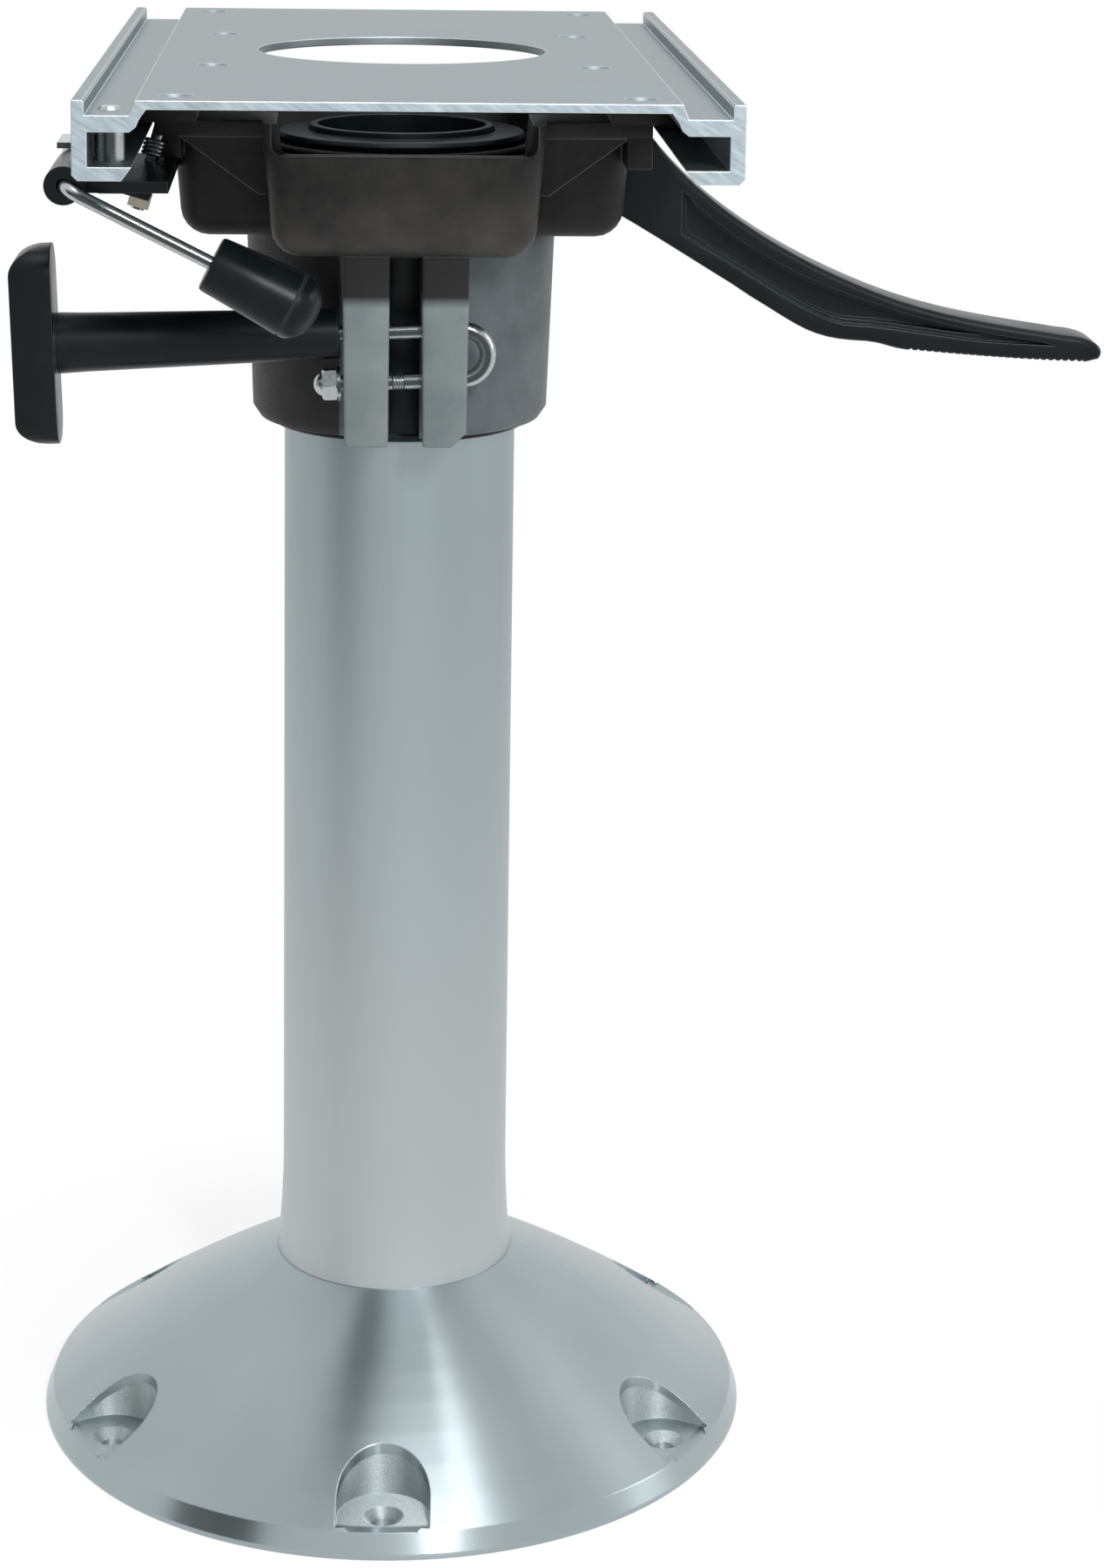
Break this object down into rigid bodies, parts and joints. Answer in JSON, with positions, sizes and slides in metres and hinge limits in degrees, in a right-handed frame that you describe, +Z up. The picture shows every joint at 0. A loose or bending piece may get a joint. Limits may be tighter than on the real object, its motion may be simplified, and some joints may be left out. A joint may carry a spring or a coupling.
{
  "type": "boat seat pedestal",
  "caption": "Boat seat pedestal: cone base, tube column, clamped swivel bracket and slide plate, with a slide-lock lever, a swivel-lock lever and a tee clamp handle.",
  "frame": {"origin": "centre of the base's underside, on the column axis, on the deck", "axes": "+Z up along the column; the seat slides along Y; -Y is the side of the clamp ears, which the picture looks at; +X is the side of the swivel-lock lever"},
  "size_m": [0.3391, 0.308, 0.447],
  "materials": {
    "cast_base": "turned and polished cast aluminium",
    "anodised_tube": "satin anodised aluminium tube",
    "cast_bracket": "dark as-cast metal",
    "mill_plate": "mill-finish extruded aluminium",
    "black_plastic": "satin moulded plastic",
    "steel": "bright stainless steel",
    "brass": "turned brass"
  },
  "bodies": {
    "stand": {"base": "cast_base", "column": "anodised_tube"},
    "bracket": {"collar_bushing": "black_plastic", "swivel_ring": "black_plastic", "swivel_bracket": "cast_bracket", "clamp_bolt": "steel", "clamp_washer": "steel", "dome_nut": "steel", "glide_front_left": "black_plastic", "glide_rear_left": "black_plastic", "glide_front_right": "black_plastic", "glide_rear_right": "black_plastic", "lock_housing": "black_plastic", "lock_bolt": "steel", "lock_nut": "brass", "lock_spring": "steel", "lever_pivot": "steel", "plunger_spring": "steel"},
    "slide": {"slide_plate": "mill_plate", "stop_pin": "steel"},
    "clamp_handle": {"tee_handle": "black_plastic", "tee_insert": "brass"},
    "slide_lever": {"lock_rod": "steel", "lock_grip": "black_plastic", "lock_cam": "steel"},
    "brake": {"brake_shoe": "steel"},
    "swivel_handle": {"swivel_lever": "black_plastic", "link_pin": "steel"},
    "plunger": {"lock_plunger": "steel", "plunger_clip": "steel"}
  },
  "joints": [
    {"name": "swivel", "type": "hinge", "parent": "stand", "child": "bracket", "pos_m": [0, 0, 0.416], "axis": [0, 0, 1], "continuous": true},
    {"name": "seat_slide", "type": "slide", "parent": "bracket", "child": "slide", "axis": [0, 1, 0], "range_m": [-0.075, 0.075]},
    {"name": "clamp_turn", "type": "hinge", "parent": "bracket", "child": "clamp_handle", "pos_m": [-0.06, -0.0565, 0.36508], "axis": [0.9993, 0, 0.0384], "range_deg": [0, 360]},
    {"name": "slide_lock", "type": "hinge", "parent": "bracket", "child": "slide_lever", "pos_m": [-0.0975, -0.09, 0.4174], "axis": [0, -1, 0], "range_deg": [0, 34]},
    {"name": "brake_press", "type": "slide", "parent": "bracket", "child": "brake", "axis": [0, 0, 1], "range_m": [-0.0005, 0]},
    {"name": "swivel_lock", "type": "hinge", "parent": "bracket", "child": "swivel_handle", "pos_m": [0.0716, 0, 0.4192], "axis": [0, -1, 0], "range_deg": [0, 8], "stiffness_Nm_per_rad": 1.5, "springref_deg": -8.59},
    {"name": "plunger_pull", "type": "slide", "parent": "bracket", "child": "plunger", "axis": [1, 0, 0], "range_m": [0, 0.0024], "deforming": ["plunger_spring"]}
  ],
  "couplings": [
    {"joint": "brake_press", "follows": "slide_lock", "m_per_rad": -0.00067},
    {"joint": "plunger_pull", "follows": "swivel_lock", "m_per_rad": 0.0162}
  ]
}
